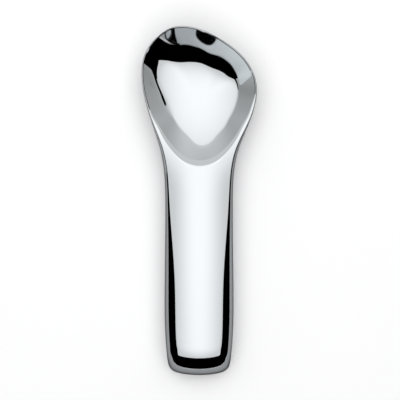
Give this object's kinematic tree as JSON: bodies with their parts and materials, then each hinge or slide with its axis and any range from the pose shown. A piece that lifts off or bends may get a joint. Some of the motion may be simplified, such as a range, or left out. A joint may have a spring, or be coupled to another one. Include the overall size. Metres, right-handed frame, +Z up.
{
  "type": "ice cream spatula",
  "caption": "One-piece mirror-polished cast aluminium ice cream spatula with a broad grip and a lopsided dished head.",
  "frame": {"origin": "centre of the bounding box in plan, on the plane that the spatula's back rests on", "axes": "+X across the grip, to the right seen from the front; +Y from the grip's end to the tip of the head; +Z up, out of the dish"},
  "size_m": [0.0576, 0.174, 0.0279],
  "materials": {
    "metal": "mirror polished"
  },
  "bodies": {
    "root": {"spatula": "metal"}
  },
  "joints": []
}
